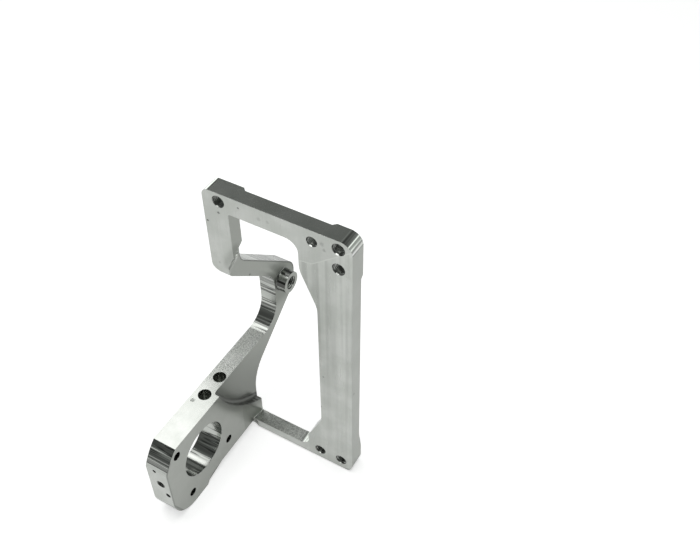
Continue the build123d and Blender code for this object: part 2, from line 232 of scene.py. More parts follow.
# Tapped holes: name, mouth, way in, radius, length and pitch
INWARDS = (0, 1, 0)
TAPPED_HOLES = (
    ("thread_frame_top_left", (-0.0386, 0.0113, 0.2158), INWARDS, 4.25 * MM, 12 * MM, 1.25 * MM),
    ("thread_frame_top_right", (0.0410, 0.0113, 0.2158), INWARDS, 4.25 * MM, 12 * MM, 1.25 * MM),
    ("thread_frame_side", (0.0410, 0.0113, 0.2007), INWARDS, 4.25 * MM, 12 * MM, 1.25 * MM),
    ("thread_frame_inner", (0.0240, 0.0113, 0.2138), INWARDS, 3.65 * MM, 9.9 * MM, 1.0 * MM),
    ("thread_foot_right", (0.0412, 0.0113, 0.0101), INWARDS, 4.25 * MM, 12.9 * MM, 1.25 * MM),
    ("thread_foot_left", (0.0242, 0.0113, 0.0101), INWARDS, 4.25 * MM, 12.9 * MM, 1.25 * MM),
    ("thread_boss", (-0.0300, 0.0659, 0.1046), (-1, 0, 0), 5.0 * MM, 20 * MM, 1.25 * MM),
    ("thread_arm_end", (-0.0406, -0.0806, 0.0420), INWARDS, 3.2 * MM, 11.9 * MM, 1.0 * MM),
)

# The room: sideways and backwards leans between which the walls change, and the angles above
# the horizon, in degrees, between which the walls end and the ceiling begins
SIDE_LEAN = (0.40, 0.62)
BACK_LEAN = (0.0, 0.45)
WALL_END = (14, 32)
CEILING_START = (60, 72)
FLOOR_HALF = 4.0
FLOOR_ROUGHNESS = 0.9

# The camera's film width in millimetres, and the nearest thing that it sees
FILM_WIDTH = 36.0
NEAREST = 10 * MM


class FinishSettings(bpy.types.PropertyGroup):
    """Colour, painted shade and surface of the milled metal."""

    metal: FloatVectorProperty(
        name="Metal", description="Colour of the clean milled aluminium",
        default=(0.70, 0.715, 0.685), size=3, min=0.0, max=1.0, subtype="COLOR",
    )
    dull: FloatVectorProperty(
        name="Dull metal", description="Colour of the faintly stained patches",
        default=(0.62, 0.64, 0.605), size=3, min=0.0, max=1.0, subtype="COLOR",
    )
    # Painted shade: a darker colour for faces turned to the side, standing in for the shaded floor
    # that they reflect
    side: FloatVectorProperty(
        name="Side metal", description="Colour of the shaded faces that were cut from the side",
        default=(0.40, 0.415, 0.385), size=3, min=0.0, max=1.0, subtype="COLOR",
    )
    # Painted shade: a darker colour for the lengthwise rounds, the bores and the head's front,
    # standing in for the dark surroundings that they reflect
    streaked_and_shaded: FloatVectorProperty(
        name="Streaked metal", description="Mean colour of the streaked rounds and bores",
        default=(0.48, 0.495, 0.47), size=3, min=0.0, max=1.0, subtype="COLOR",
    )
    # Painted shade: near black for the boss's side between its streaks and for the insides of the
    # arm's upper holes
    boss_and_hole_shade: FloatVectorProperty(
        name="Boss side", description="Dark colour of the boss's side and of the upper holes",
        default=(0.17, 0.175, 0.165), size=3, min=0.0, max=1.0, subtype="COLOR",
    )
    # Painted shade: a dark colour in the round pocket's concave wall
    wall: FloatVectorProperty(
        name="Pocket wall", description="Colour of the round pocket's dark dull wall",
        default=(0.15, 0.155, 0.145), size=3, min=0.0, max=1.0, subtype="COLOR",
    )
    # Painted shade: a darker colour on the pocket's floor near its wall
    rim_shade: FloatVectorProperty(
        name="Pocket rim", description="Colour that the pocket's floor takes on near its wall",
        default=(0.26, 0.27, 0.25), size=3, min=0.0, max=1.0, subtype="COLOR",
    )
    # Partly painted shade: the spot at the undercut's foot and the line where the left bar's slope
    # meets the brace
    stain_and_shade: FloatVectorProperty(
        name="Stain", description="Colour of pits, nicks and dark lines",
        default=(0.20, 0.21, 0.195), size=3, min=0.0, max=1.0, subtype="COLOR",
    )
    thread: FloatVectorProperty(
        name="Thread", description="Colour of the metal in tapped holes",
        default=(0.56, 0.575, 0.55), size=3, min=0.0, max=1.0, subtype="COLOR",
    )
    thread_dark: FloatVectorProperty(
        name="Dark thread", description="Colour of the dirt in tapped holes",
        default=(0.16, 0.165, 0.155), size=3, min=0.0, max=1.0, subtype="COLOR",
    )
    flat_roughness: FloatProperty(
        name="Flat roughness", description="Roughness of the satin flats",
        default=0.30, min=0.0, max=1.0, subtype="FACTOR",
    )
    top_roughness: FloatProperty(
        name="Top roughness", description="Roughness of the upper faces",
        default=0.16, min=0.0, max=1.0, subtype="FACTOR",
    )
    round_roughness: FloatProperty(
        name="Round roughness", description="Roughness of the brightly cut rounds and bores",
        default=0.12, min=0.0, max=1.0, subtype="FACTOR",
    )
    thread_roughness: FloatProperty(
        name="Thread roughness", description="Roughness of the metal in tapped holes",
        default=0.20, min=0.0, max=1.0, subtype="FACTOR",
    )
    edge_width: FloatProperty(
        name="Edge break", description="Radius of the broken sharp edges",
        default=0.22 * MM, min=0.0, soft_max=2 * MM, unit="LENGTH",
    )
    band_depth: FloatProperty(
        name="Band depth", description="Height of the bands that the cutter leaves on rounds",
        default=0.11 * MM, min=0.0, soft_max=MM, unit="LENGTH",
    )
    stroke_depth: FloatProperty(
        name="Stroke depth", description="Height of the fine strokes on the flats",
        default=0.0015 * MM, min=0.0, soft_max=MM, unit="LENGTH",
    )
    grain_depth: FloatProperty(
        name="Grain depth", description="Height of the sandy grain on the arm's upper face",
        default=0.07 * MM, min=0.0, soft_max=MM, unit="LENGTH",
    )


class StageSettings(bpy.types.PropertyGroup):
    """Floor, surroundings and lamps of the studio."""

    floor: FloatVectorProperty(
        name="Floor", description="Colour of the pale floor",
        default=(0.80, 0.80, 0.80), size=3, min=0.0, max=1.0, subtype="COLOR",
    )
    floor_glow: FloatProperty(
        name="Floor glow", description="White that the floor adds for the eye",
        default=0.60, min=0.0, max=1.0, subtype="FACTOR",
    )
    floor_sheen: FloatProperty(
        name="Floor in reflections", description="White that the floor adds in reflections",
        default=0.22, min=0.0, max=1.0, subtype="FACTOR",
    )
    tint: FloatVectorProperty(
        name="Tint", description="Faint green of the room's light",
        default=(0.955, 1.0, 0.965), size=3, min=0.0, max=1.0, subtype="COLOR",
    )
    back_wall: FloatProperty(
        name="Back wall", description="Brightness of the pale walls behind the part",
        default=1.5, min=0.0,
    )
    middle_wall: FloatProperty(
        name="Middle wall", description="Brightness of the gap between the pale walls",
        default=0.20, min=0.0,
    )
    front_wall: FloatProperty(
        name="Front wall", description="Brightness of the room behind the camera",
        default=0.23, min=0.0,
    )
    wall_top: FloatProperty(
        name="Wall top", description="Brightness of the dim band above the walls",
        default=0.15, min=0.0,
    )
    ceiling: FloatProperty(
        name="Ceiling", description="Brightness straight overhead", default=0.30, min=0.0,
    )
    key_power: FloatProperty(
        name="Key lamp", description="Power of the large soft lamp",
        default=1.62, min=0.0, unit="POWER",
    )
    key_size: FloatProperty(
        name="Key lamp's size", description="Width of the large soft lamp",
        default=0.62, min=0.0, unit="LENGTH",
    )
    key_distance: FloatProperty(
        name="Key distance", description="How far the large soft lamp hangs from the part",
        default=1.2, min=0.0, unit="LENGTH",
    )
    key_height: FloatProperty(
        name="Key height", description="How high the large soft lamp is, as an angle",
        default=math.radians(58), unit="ROTATION",
    )
    key_heading: FloatProperty(
        name="Key heading", description="Which way the large soft lamp is, turned left from +Y",
        default=math.radians(68), unit="ROTATION",
    )
    top_power: FloatProperty(
        name="Top lamp", description="Power of the soft lamp overhead",
        default=6.5, min=0.0, unit="POWER",
    )
    top_size: FloatProperty(
        name="Top lamp's size", description="Width of the soft lamp overhead",
        default=0.7, min=0.0, unit="LENGTH",
    )
    top_offset: FloatVectorProperty(
        name="Top lamp's place", description="Where the lamp overhead hangs, from the part",
        default=(0.0, -0.1, 1.2), size=3, subtype="TRANSLATION", unit="LENGTH",
    )


class CameraSettings(bpy.types.PropertyGroup):
    """Where the camera stands and how it looks."""

    place: FloatVectorProperty(
        name="Place", description="Where the camera stands",
        default=(0.2172, -0.2843, 0.5477), size=3, subtype="TRANSLATION", unit="LENGTH",
    )
    heading: FloatProperty(
        name="Heading", description="Turn about the vertical, from looking along +Y",
        default=math.radians(29.74), unit="ROTATION",
    )
    dip: FloatProperty(
        name="Dip", description="How far the camera looks down",
        default=math.radians(45.91), unit="ROTATION",
    )
    roll: FloatProperty(
        name="Roll", description="Tilt of the camera about its own view",
        default=math.radians(0.07), unit="ROTATION",
    )
    lens: FloatProperty(
        name="Lens", description="Focal length in millimetres", default=45.52, min=1.0,
    )


class BracketSettings(bpy.types.PropertyGroup):
    """All settings of the bracket and its stage."""

    finish: PointerProperty(type=FinishSettings, name="Finish", description="The metal's finish")
    stage: PointerProperty(type=StageSettings, name="Stage", description="The studio")
    camera: PointerProperty(type=CameraSettings, name="Camera", description="The view")


def fill(tree, socket, value):
    """Sets an input socket, or links it where the value is a socket too."""
    if isinstance(value, bpy.types.NodeSocket):
        tree.links.new(value, socket)
    elif value is not None:
        socket.default_value = value


class Graph:
    """Adds nodes to a node tree, each input given as a value or as a socket to link."""

    def __init__(self, tree):
        self.tree = tree

    def add(self, kind, *values, settings=None, **named):
        """One node, its inputs set in order or by name, with spaces as underscores."""
        node = self.tree.nodes.new(kind)
        for name, value in (settings or {}).items():
            setattr(node, name, value)
        pairs = list(zip(node.inputs, values))
        pairs += [(node.inputs[name.replace("_", " ")], value) for name, value in named.items()]
        for socket, value in pairs:
            fill(self.tree, socket, value)
        return node

    def group(self, group, **named):
        """A node group's outputs, placed with its own values."""
        node = self.tree.nodes.new("ShaderNodeGroup")
        node.node_tree = group
        for name, value in named.items():
            fill(self.tree, node.inputs[name.replace("_", " ")], value)
        return node.outputs

    def math(self, operation, *values, clamp=False):
        """The result of one sum on numbers."""
        settings = {"operation": operation, "use_clamp": clamp}
        return self.add("ShaderNodeMath", *values, settings=settings).outputs[0]

    def chain(self, operation, *values):
        """The result of one sum carried through several numbers."""
        result = values[0]
        for value in values[1:]:
            result = self.math(operation, result, value)
        return result

    def plus(self, *values):
        """The sum of several numbers."""
        return self.chain("ADD", *values)

    def times(self, *values):
        """The product of several numbers."""
        return self.chain("MULTIPLY", *values)

    def most(self, *values):
        """The largest of several numbers."""
        return self.chain("MAXIMUM", *values)

    def between(self, value, low, high):
        """One where a value lies between two others, and nothing elsewhere."""
        above = self.math("GREATER_THAN", value, low)
        return self.times(above, self.math("LESS_THAN", value, high))

    def vector(self, operation, *values):
        """The result of one sum on vectors."""
        node = self.add("ShaderNodeVectorMath", *values, settings={"operation": operation})
        single = operation in ("DOT_PRODUCT", "LENGTH", "DISTANCE")
        return node.outputs["Value" if single else "Vector"]

    def scale(self, vector, factor):
        """A vector or colour made larger or smaller."""
        return self.vector("SCALE", vector, None, None, factor)

    def ramp(self, value, low, high, to_low=0.0, to_high=1.0):
        """A value carried smoothly from one range to another, and held at its ends."""
        settings = {"interpolation_type": "SMOOTHSTEP", "clamp": True}
        values = (value, low, high, to_low, to_high)
        return self.add("ShaderNodeMapRange", *values, settings=settings).outputs["Result"]

    def mix(self, factor, first, second):
        """A blend of two colours."""
        node = self.add("ShaderNodeMix", factor, settings={"data_type": "RGBA"})
        for socket, value in ((node.inputs[6], first), (node.inputs[7], second)):
            plain = not isinstance(value, bpy.types.NodeSocket)
            fill(self.tree, socket, (*value[:3], 1.0) if plain else value)
        return node.outputs[2]

    def noise(self, place, scale, detail=2.0, roughness=0.5):
        """Smooth noise around one half."""
        named = {"Vector": place, "Scale": scale, "Detail": detail, "Roughness": roughness}
        return self.add("ShaderNodeTexNoise", **named).outputs["Fac"]

    def geometry(self, name):
        """The surface's position or its plain normal."""
        return self.add("ShaderNodeNewGeometry").outputs[name]

    def parts(self, vector):
        """A vector's X, Y and Z."""
        return self.add("ShaderNodeSeparateXYZ", vector).outputs

    def give(self, value, socket):
        """Links a result to where it is used."""
        self.tree.links.new(value, socket)


def new_group(name, takes, gives):
    """An empty shader node group with float or vector sockets."""
    group = bpy.data.node_groups.new(name, "ShaderNodeTree")
    kinds = {"float": "NodeSocketFloat", "vector": "NodeSocketVector"}
    for socket, kind, default in takes:
        made = group.interface.new_socket(name=socket, in_out="INPUT", socket_type=kinds[kind])
        made.default_value = default
    for socket, kind in gives:
        group.interface.new_socket(name=socket, in_out="OUTPUT", socket_type=kinds[kind])
    start = group.nodes.new("NodeGroupInput")
    end = group.nodes.new("NodeGroupOutput")
    return group, Graph(group), start.outputs, end.inputs


def facing_group():
    """Masks of the flats that face along each axis, and of the rounds about each axis."""
    masks = ("Side", "Front", "Top")
    rounds = ("Round X", "Round Y", "Round Z")
    group, graph, takes, gives = new_group(
        "facing", [("Spread", "float", 0.01), ("Round Spread", "float", 0.1)],
        [(name, "float") for name in (*masks, "Curved", "Sideways", *rounds)],
    )
    parts = graph.parts(graph.vector("ABSOLUTE", graph.geometry("Normal")))
    start = graph.math("SUBTRACT", 1.0, takes["Spread"])
    flats = [graph.ramp(part, start, 1.0) for part in parts]
    curved = graph.math("SUBTRACT", 1.0, graph.most(*flats))
    graph.give(curved, gives["Curved"])
    graph.give(graph.ramp(parts[0], *SIDE_SPREAD), gives["Sideways"])
    for flat, part, flat_name, round_name in zip(flats, parts, masks, rounds):
        graph.give(flat, gives[flat_name])
        about = graph.times(curved, graph.ramp(part, takes["Round Spread"], 0.0))
        graph.give(about, gives[round_name])
    return group


def mottle_group():
    """Soft uneven patches, and a fine grain around zero."""
    group, graph, takes, gives = new_group(
        "mottle", [("Patch Size", "float", 12 * MM), ("Grain Size", "float", 0.5 * MM)],
        [("Patches", "float"), ("Grain", "float")],
    )
    place = graph.geometry("Position")
    often = graph.math("DIVIDE", 1.0, takes["Patch Size"])
    finely = graph.math("DIVIDE", 1.0, takes["Grain Size"])
    patches = graph.noise(place, often, *PATCH_NOISE)
    grain = graph.noise(place, finely, *GRAIN_NOISE)
    graph.give(graph.ramp(patches, *PATCH_LEVELS), gives["Patches"])
    graph.give(graph.math("SUBTRACT", grain, 0.5), gives["Grain"])
    return group


def strokes_group():
    """Long cutter strokes around zero: noise drawn out along one direction, soft or crisp."""
    group, graph, takes, gives = new_group(
        "strokes",
        [("Frequency", "vector", (1500.0, 1500.0, 30.0)), ("Detail", "float", 3.0),
         ("Softness", "float", 0.5)],
        [("Height", "float"), ("Lines", "float")],
    )
    drawn = graph.vector("MULTIPLY", graph.geometry("Position"), takes["Frequency"])
    level = graph.noise(drawn, 1.0, takes["Detail"], STROKE_NOISE)
    low = graph.math("SUBTRACT", 0.5, takes["Softness"])
    high = graph.math("ADD", 0.5, takes["Softness"])
    graph.give(graph.ramp(level, low, high, -0.5, 0.5), gives["Height"])
    off = graph.math("ABSOLUTE", graph.math("SUBTRACT", level, 0.5))
    graph.give(graph.ramp(off, *THIN_LINE), gives["Lines"])
    return group


def edge_group():
    """The softened normal of a broken edge."""
    group, graph, takes, gives = new_group(
        "edge_break", [("Width", "float", 0.35 * MM)], [("Normal", "vector")],
    )
    bevel = graph.add("ShaderNodeBevel", Radius=takes["Width"], settings={"samples": EDGE_SAMPLES})
    graph.give(bevel.outputs["Normal"], gives["Normal"])
    return group


def spot_group():
    """An uneven small spot at a place."""
    group, graph, takes, gives = new_group(
        "spot", [("Centre", "vector", (0.0, 0.0, 0.0)), ("Radius", "float", MM)],
        [("Mask", "float")],
    )
    place = graph.geometry("Position")
    reach = graph.vector("DISTANCE", place, takes["Centre"])
    distance = graph.math("DIVIDE", reach, takes["Radius"])
    outline = graph.math("SUBTRACT", graph.noise(place, OUTLINE_FREQUENCY), 0.5)
    uneven = graph.math("MULTIPLY_ADD", outline, OUTLINE_STRENGTH, distance)
    graph.give(graph.ramp(uneven, 1.0, SPOT_FULL), gives["Mask"])
    return group


def seam_group():
    """A thin line between two places."""
    group, graph, takes, gives = new_group(
        "seam",
        [("Start", "vector", (0.0, 0.0, 0.0)), ("End", "vector", (0.0, 0.0, MM)),
         ("Width", "float", MM)],
        [("Mask", "float")],
    )
    along = graph.vector("SUBTRACT", takes["End"], takes["Start"])
    offset = graph.vector("SUBTRACT", graph.geometry("Position"), takes["Start"])
    share = graph.math("DIVIDE", graph.vector("DOT_PRODUCT", offset, along),
                       graph.vector("DOT_PRODUCT", along, along), clamp=True)
    reach = graph.vector("DISTANCE", offset, graph.scale(along, share))
    distance = graph.math("DIVIDE", reach, takes["Width"])
    graph.give(graph.ramp(distance, 1.0, LINE_FULL), gives["Mask"])
    return group


GROUPS = {
    "facing": facing_group, "mottle": mottle_group, "strokes": strokes_group,
    "edge_break": edge_group, "spot": spot_group, "seam": seam_group,
}


def shared_group(name):
    """A node group that is built once, for all the materials that use it."""
    return bpy.data.node_groups.get(name) or GROUPS[name]()


def new_material(name):
    """A material with a Principled shader, wired to its output."""
    material = bpy.data.materials.new(name)
    material.use_nodes = True
    material.node_tree.nodes.clear()
    graph = Graph(material.node_tree)
    shader = graph.add("ShaderNodeBsdfPrincipled")
    graph.add("ShaderNodeOutputMaterial", shader.outputs[0])
    return material, graph, shader


def lines(graph, places, width):
    """A thin line through several places."""
    seam = shared_group("seam")
    return graph.most(*[
        graph.group(seam, Start=start, End=end, Width=width)["Mask"]
        for start, end in zip(places, places[1:])
    ])


def spots(graph, marks):
    """The strongest of several spots."""
    spot = shared_group("spot")
    return graph.most(*[
        graph.times(graph.group(spot, Centre=centre, Radius=radius)["Mask"], strength)
        for centre, radius, strength in marks
    ])


def strokes(graph, look):
    """Cutter strokes of one look, as heights and as thin lines."""
    frequency, detail, softness = look
    return graph.group(shared_group("strokes"), Frequency=frequency, Detail=detail,
                       Softness=softness)


class BracketSurface:
    """Masks of the bracket's own faces, for one material."""

    def __init__(self, graph):
        self.graph = graph
        self.facing = graph.group(shared_group("facing"), Spread=FLAT_SPREAD,
                                  Round_Spread=ROUND_SPREAD)
        self.parts = graph.parts(graph.geometry("Position"))

    def reach(self, centre):
        """The distance, seen from the side, to a centre given as Y and Z."""
        flat = self.graph.add("ShaderNodeCombineXYZ", 0.0, self.parts["Y"], self.parts["Z"])
        return self.graph.vector("DISTANCE", flat.outputs[0], (0.0, *centre))

    def pass_mark(self):
        """Where the second milling pass lies on the wide bar's front, and its upper edge."""
        graph, parts = self.graph, self.parts
        across = graph.math("SUBTRACT", parts["X"], PASS_CORNER[0])
        sides = [graph.math("MULTIPLY_ADD", across, slope, PASS_CORNER[1]) for slope in PASS_SLOPES]
        depth = graph.math("SUBTRACT", graph.most(*sides), parts["Z"])
        on_bar = graph.times(self.facing["Front"],
                             graph.math("GREATER_THAN", parts["X"], PASS_START))
        inside = graph.times(graph.ramp(depth, 0.0, PASS_STEP), on_bar)
        off = graph.math("ABSOLUTE", depth)
        return inside, graph.times(graph.ramp(off, PASS_EDGE, 0.0), on_bar)

    def head_front(self):
        """The web's and the head's upright front faces."""
        return self.graph.times(self.facing["Front"],
                                self.graph.math("GREATER_THAN", self.parts["Y"], WEB_FRONT))

    def boss_side(self):
        """The boss's round side."""
        near = self.graph.math("LESS_THAN", self.reach(BOSS_CENTRE), BOSS_REACH)
        return self.graph.times(near,
                                self.graph.math("GREATER_THAN", self.parts["X"], BOSS_START),
                                self.facing["Curved"])

    def boss_foot(self):
        """Where the boss meets the face that it stands on."""
        near = self.graph.math("LESS_THAN", self.reach(BOSS_CENTRE), BOSS_REACH)
        return self.graph.times(near,
                                self.graph.math("LESS_THAN", self.parts["X"], BOSS_START + MM))

    def boss_ring(self):
        """The flat round the boss."""
        near = self.graph.ramp(self.reach(BOSS_CENTRE), *BOSS_RING)
        return self.graph.times(near, self.facing["Side"],
                                self.graph.math("LESS_THAN", self.parts["X"], BOSS_START + TINY))

    def run_out(self):
        """The swept run-out between the arm and the foot bar."""
        return self.graph.times(self.graph.between(self.parts["Z"], *RUN_OUT_HEIGHT),
                                self.graph.between(self.parts["X"], *RUN_OUT_X),
                                self.facing["Curved"])

    def pocket_wall(self):
        """The round pocket's wall and the edge of its floor, where painted shade darkens the
        colour.
        """
        graph = self.graph
        off = graph.math("ABSOLUTE",
                         graph.math("SUBTRACT", self.reach(POCKET_CENTRE), POCKET_EDGE))
        return graph.times(graph.ramp(off, *POCKET_WALL),
                           graph.between(self.parts["X"], *POCKET_DEPTH),
                           graph.math("LESS_THAN", self.parts["Z"], ARM_TOP - TINY))

    def pocket_rim(self):
        """How near a place on the pocket's floor is to its round wall, and the wall itself: where
        painted shade darkens the floor.
        """
        graph, parts = self.graph, self.parts
        reach = self.reach(POCKET_CENTRE)
        arm_top = graph.times(self.facing["Top"],
                              graph.math("GREATER_THAN", parts["Z"], ARM_TOP - TINY))
        return graph.times(graph.ramp(reach, *RIM_RISE), graph.ramp(reach, *RIM_FALL),
                           graph.between(parts["X"], *POCKET_DEPTH),
                           graph.math("LESS_THAN", parts["Z"], POCKET_CENTRE[1]),
                           graph.math("SUBTRACT", 1.0, arm_top))

    def upper_holes(self):
        """The inside of the two holes in the arm's upper face."""
        graph = self.graph
        near = graph.most(*[lines(graph, ends, UPPER_HOLE_REACH) for ends in UPPER_HOLES])
        return graph.times(near, graph.math("LESS_THAN", self.parts["Z"], ARM_TOP - TINY))

    def sandy(self):
        """The sandy part of the arm's upper face."""
        graph = self.graph
        return graph.times(self.facing["Top"],
                           graph.ramp(self.parts["Y"], SANDY_FROM, SANDY_FULL),
                           graph.ramp(self.parts["Z"], ARM_TOP + MM, ARM_TOP))

    def sideways_shade(self):
        """How much painted shade the faces turned to the side take, less where they are paler."""
        graph, parts = self.graph, self.parts
        on_arm = graph.times(graph.math("LESS_THAN", parts["Y"], 0.0),
                             graph.math("GREATER_THAN", parts["X"], ARM_SIDE))
        on_bar = graph.math("GREATER_THAN", parts["X"], BAR_SIDE)
        share = graph.math("MULTIPLY_ADD", on_arm, -ARM_PALER, 1.0)
        share = graph.math("MULTIPLY_ADD", on_bar, -BAR_PALER, share)
        return graph.times(self.facing["Sideways"],
                           graph.math("SUBTRACT", 1.0, self.facing["Round Y"]), share)


def milled_aluminium(finish):
    """Satin milled flats, glossy banded rounds and bores, strokes, patches, pits, broken edges, and
    painted shade on side faces, rounds, the pocket, the boss and the upper holes.
    """
    material, graph, shader = new_material("milled_aluminium")
    surface = BracketSurface(graph)
    facing = surface.facing
    mottle = graph.group(shared_group("mottle"), Patch_Size=PATCH_SIZE, Grain_Size=GRAIN_SIZE)

    # What the cutter left: fine strokes on flats, bands on rounds, long passes on the bar
    head = surface.head_front()
    upright = graph.math("MULTIPLY_ADD", facing["Side"], SIDE_SHARE,
                         graph.math("SUBTRACT", facing["Front"], head))
    fine = graph.plus(
        graph.times(strokes(graph, UPRIGHT_STROKES)["Height"], upright),
        graph.times(strokes(graph, LEVEL_STROKES)["Height"],
                    graph.times(facing["Top"], LEVEL_SHARE)),
    )
    in_hole = surface.upper_holes()
    elsewhere = graph.math("SUBTRACT", 1.0, in_hole)
    lengthwise = graph.most(graph.times(facing["Round X"], elsewhere), head)
    along = strokes(graph, LENGTHWISE_STREAKS)
    streaks = graph.times(along["Height"], lengthwise)
    thin_lines = graph.times(along["Lines"], lengthwise)
    corners = graph.times(strokes(graph, CORNER_STREAKS)["Height"],
                          graph.times(facing["Round Y"], elsewhere))
    upright_rounds = graph.times(facing["Round Z"], elsewhere)
    bands = graph.plus(
        streaks, corners, graph.times(strokes(graph, UPRIGHT_STREAKS)["Height"], upright_rounds),
    )
    second_pass, pass_edge = surface.pass_mark()
    fade = graph.ramp(surface.parts["Z"], *PASS_FADE, PASS_LEAST, 1.0)
    passes = graph.times(strokes(graph, PASS_STROKES)["Height"], graph.times(second_pass, fade))
    sandy = surface.sandy()
    grain = graph.times(sandy, mottle["Grain"])

    # Wear and painted shade: pits, dark lines and satin places; the spot at the undercut's foot and
    # the line at the left bar's slope are painted shade
    pitted_and_shaded = spots(graph, PITS_AND_SHADE)
    lined = graph.most(*[
        graph.times(lines(graph, places, width), strength) for places, width, strength in DARK_LINES
    ])
    dulled = lines(graph, DULL_STRIP, DULL_WIDTH)
    # The pocket's wall: satin, and darkened with painted shade
    wall = surface.pocket_wall()
    satin = graph.most(dulled, wall, surface.run_out(), surface.boss_ring())

    # Colour: clean and dull patches, then each kind of face with its painted shade, then the marks,
    # some of which are painted shade too
    # Painted shade: the boss's side darkens between its streaks, and the upper holes' insides
    # darken
    boss_shade = graph.times(surface.boss_side(), graph.ramp(streaks, *BOSS_STREAKS))
    hole_shade = graph.times(in_hole, facing["Curved"], UPPER_HOLE_DARKNESS)
    colour = graph.mix(mottle["Patches"], finish.dull, finish.metal)
    for mask, tone in (
        (surface.sideways_shade(), finish.side), (lengthwise, finish.streaked_and_shaded),
        (surface.pocket_rim(), finish.rim_shade), (boss_shade, finish.boss_and_hole_shade),
        (hole_shade, finish.boss_and_hole_shade), (wall, finish.wall),
    ):
        colour = graph.mix(mask, colour, tone)
    shade = graph.plus(
        graph.times(passes, PASS_SHADE), graph.times(pass_edge, PASS_EDGE_SHADE),
        graph.times(grain, SANDY_SHADE), graph.times(fine, FINE_SHADE),
        graph.times(bands, BAND_SHADE), graph.times(streaks, STREAK_SHADE),
        graph.times(corners, CORNER_SHADE), graph.times(thin_lines, LINE_SHADE), 1.0,
    )
    colour = graph.mix(graph.most(pitted_and_shaded, lined), graph.scale(colour, shade), finish.stain_and_shade)
    graph.give(colour, shader.inputs["Base Color"])
    shader.inputs["Metallic"].default_value = 1.0

    # Roughness: satin flats, brighter tops and rounds, rougher marks
    rough = graph.plus(
        graph.ramp(facing["Curved"], 0.0, 1.0, finish.flat_roughness, finish.round_roughness),
        graph.times(facing["Top"], finish.top_roughness - finish.flat_roughness),
        graph.times(fine, STROKE_ROUGHNESS), graph.times(bands, STROKE_ROUGHNESS),
        graph.times(sandy, SANDY_ROUGHNESS),
    )
    worn = graph.math("MULTIPLY_ADD", pitted_and_shaded, SATIN_ROUGHNESS,
                      graph.times(satin, SATIN_ROUGHNESS))
    graph.give(graph.math("ADD", rough, worn, clamp=True), shader.inputs["Roughness"])

    # Relief, over edges that are broken except at the boss's foot and the dull strip
    height = graph.plus(
        graph.times(bands, finish.band_depth / MM), graph.times(fine, finish.stroke_depth / MM),
        graph.times(grain, finish.grain_depth / MM),
        graph.times(pitted_and_shaded, -PIT_DEPTH),
        graph.times(graph.most(*[lines(graph, ends, RIDGE_WIDTH) for ends in NOSE_RIDGES]),
                    RIDGE_HEIGHT),
    )
    broken = graph.group(shared_group("edge_break"), Width=finish.edge_width)["Normal"]
    change = graph.vector("SUBTRACT", graph.geometry("Normal"), broken)
    sharp = graph.most(dulled, surface.boss_foot())
    normal = graph.vector("ADD", broken, graph.scale(change, sharp))
    bump = graph.add("ShaderNodeBump", Strength=1.0, Distance=MM, Height=height, Normal=normal)
    graph.give(bump.outputs["Normal"], shader.inputs["Normal"])
    return material


def cut_threads(finish):
    """The darker metal inside tapped holes, with chatter along the flanks."""
    material, graph, shader = new_material("cut_threads")
    mottle = graph.group(shared_group("mottle"), Patch_Size=THREAD_PATCH_SIZE,
                         Grain_Size=THREAD_GRAIN_SIZE)
    colour = graph.mix(mottle["Patches"], finish.thread_dark, finish.thread)
    shade = graph.math("MULTIPLY_ADD", mottle["Grain"], THREAD_SHADE, 1.0)
    graph.give(graph.scale(colour, shade), shader.inputs["Base Color"])
    rough = graph.math("MULTIPLY_ADD", mottle["Grain"], THREAD_UNEVENNESS,
                       finish.thread_roughness)
    graph.give(rough, shader.inputs["Roughness"])
    shader.inputs["Metallic"].default_value = 1.0
    height = graph.times(mottle["Grain"], THREAD_CHATTER)
    bump = graph.add("ShaderNodeBump", Strength=1.0, Distance=MM, Height=height)
    graph.give(bump.outputs["Normal"], shader.inputs["Normal"])
    return material


def thread_mesh(name, radius, length, pitch):
    """A V thread that lines a hole: it starts at the origin and runs along +Z."""
    mesh = bmesh.new()
    depth = THREAD_DEPTH * pitch
    count = math.ceil(length / pitch * THREAD_STEPS)
    rows = []
    for step in range(count + THREAD_STEPS + 1):
        angle = math.tau * step / THREAD_STEPS
        row = []
        for share, sink in THREAD_PROFILE:
            height = pitch * (step / THREAD_STEPS + share - 1)
            fade = max(0.0, min(1.0, height / pitch, (length - height) / pitch))
            reach = radius - THREAD_GAP - depth * sink * fade
            height = max(0.0, min(length, height))
            place = (reach * math.cos(angle), reach * math.sin(angle), height)
            row.append(mesh.verts.new(place))
        rows.append(row)
    for before, after in zip(rows, rows[1:]):
        for corners in zip(before, before[1:], after[1:], after):
            mesh.faces.new(corners)
    bmesh.ops.remove_doubles(mesh, verts=mesh.verts, dist=WELD_GAP)
    data = bpy.data.meshes.new(name)
    mesh.to_mesh(data)
    mesh.free()
    return data


class BRACKET_OT_finish_metal(bpy.types.Operator):
    """Give the bracket its milled aluminium finish"""

    bl_idname = "bracket.finish_metal"
    bl_label = "Finish the metal"

    def execute(self, context):
        material = milled_aluminium(context.scene.bracket_settings.finish)
        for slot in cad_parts[NODE].material_slots:
            slot.material = material
        return {"FINISHED"}


class BRACKET_OT_tap_holes(bpy.types.Operator):
    """Line the tapped holes with their threads"""

    bl_idname = "bracket.tap_holes"
    bl_label = "Tap the holes"

    def execute(self, context):
        material = cut_threads(context.scene.bracket_settings.finish)
        for name, mouth, way, radius, length, pitch in TAPPED_HOLES:
            piece = bpy.data.objects.new(name, thread_mesh(name, radius, length, pitch))
            piece.data.materials.append(material)
            context.scene.collection.objects.link(piece)
            turn = Vector(way).to_track_quat("Z", "Y").to_matrix().to_4x4()
            piece.data.transform(Matrix.Translation(mouth) @ turn)
            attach(piece, BODY)
        return {"FINISHED"}


